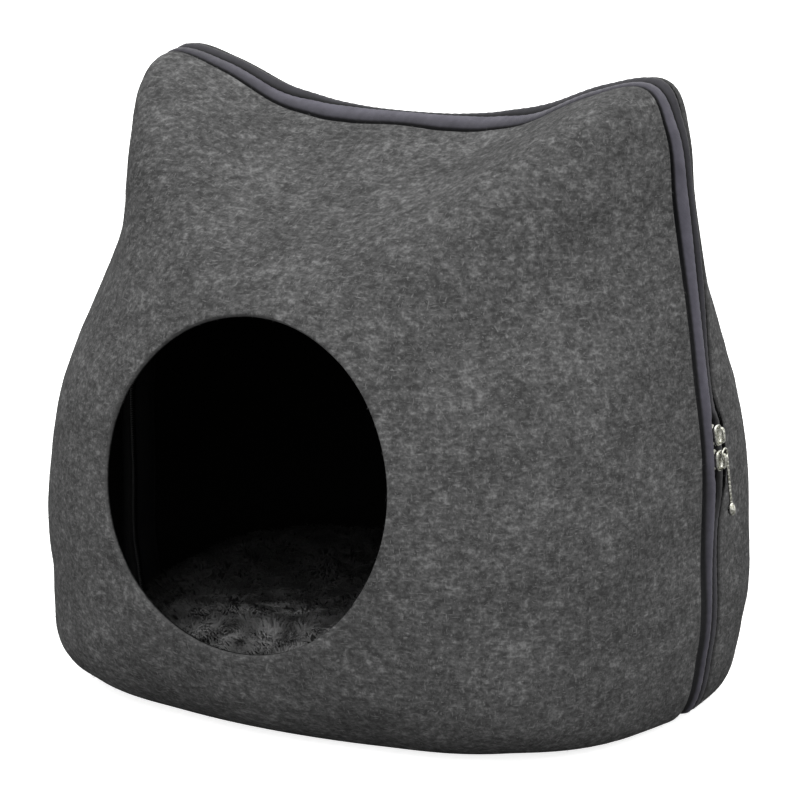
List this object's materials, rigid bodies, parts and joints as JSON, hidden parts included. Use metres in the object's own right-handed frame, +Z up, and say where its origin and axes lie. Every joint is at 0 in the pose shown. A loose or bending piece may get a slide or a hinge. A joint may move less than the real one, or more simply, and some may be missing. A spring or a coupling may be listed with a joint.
{
  "type": "felt cat cave",
  "caption": "Free-standing cat cave of moulded felt in a cat-head outline: a front half with a round entrance, zipped to a back half, and a plush cushion inside.",
  "frame": {"origin": "the middle of the flat base, where the cave meets the ground, halfway between its front and its back", "axes": "+Z up, the round entrance faces -Y, +X along the width, towards the side with the sliders"},
  "size_m": [0.4652, 0.369, 0.4125],
  "materials": {
    "felt": "thick needle felt, charcoal mottled with lighter grey fibres, matt",
    "zip_tape": "fine woven tape, dark grey with a slight violet tone, soft sheen",
    "coil": "black moulded coil",
    "metal": "bright nickel plate",
    "plush": "short dark grey pile"
  },
  "bodies": {
    "root": {"front_half": "felt", "back_half": "felt", "zip_tape_front": "zip_tape", "zip_tape_back": "zip_tape", "zip_chain": "coil", "slider_upper": "metal", "slider_lower": "metal", "puller": "metal", "cushion": "plush"}
  },
  "joints": []
}
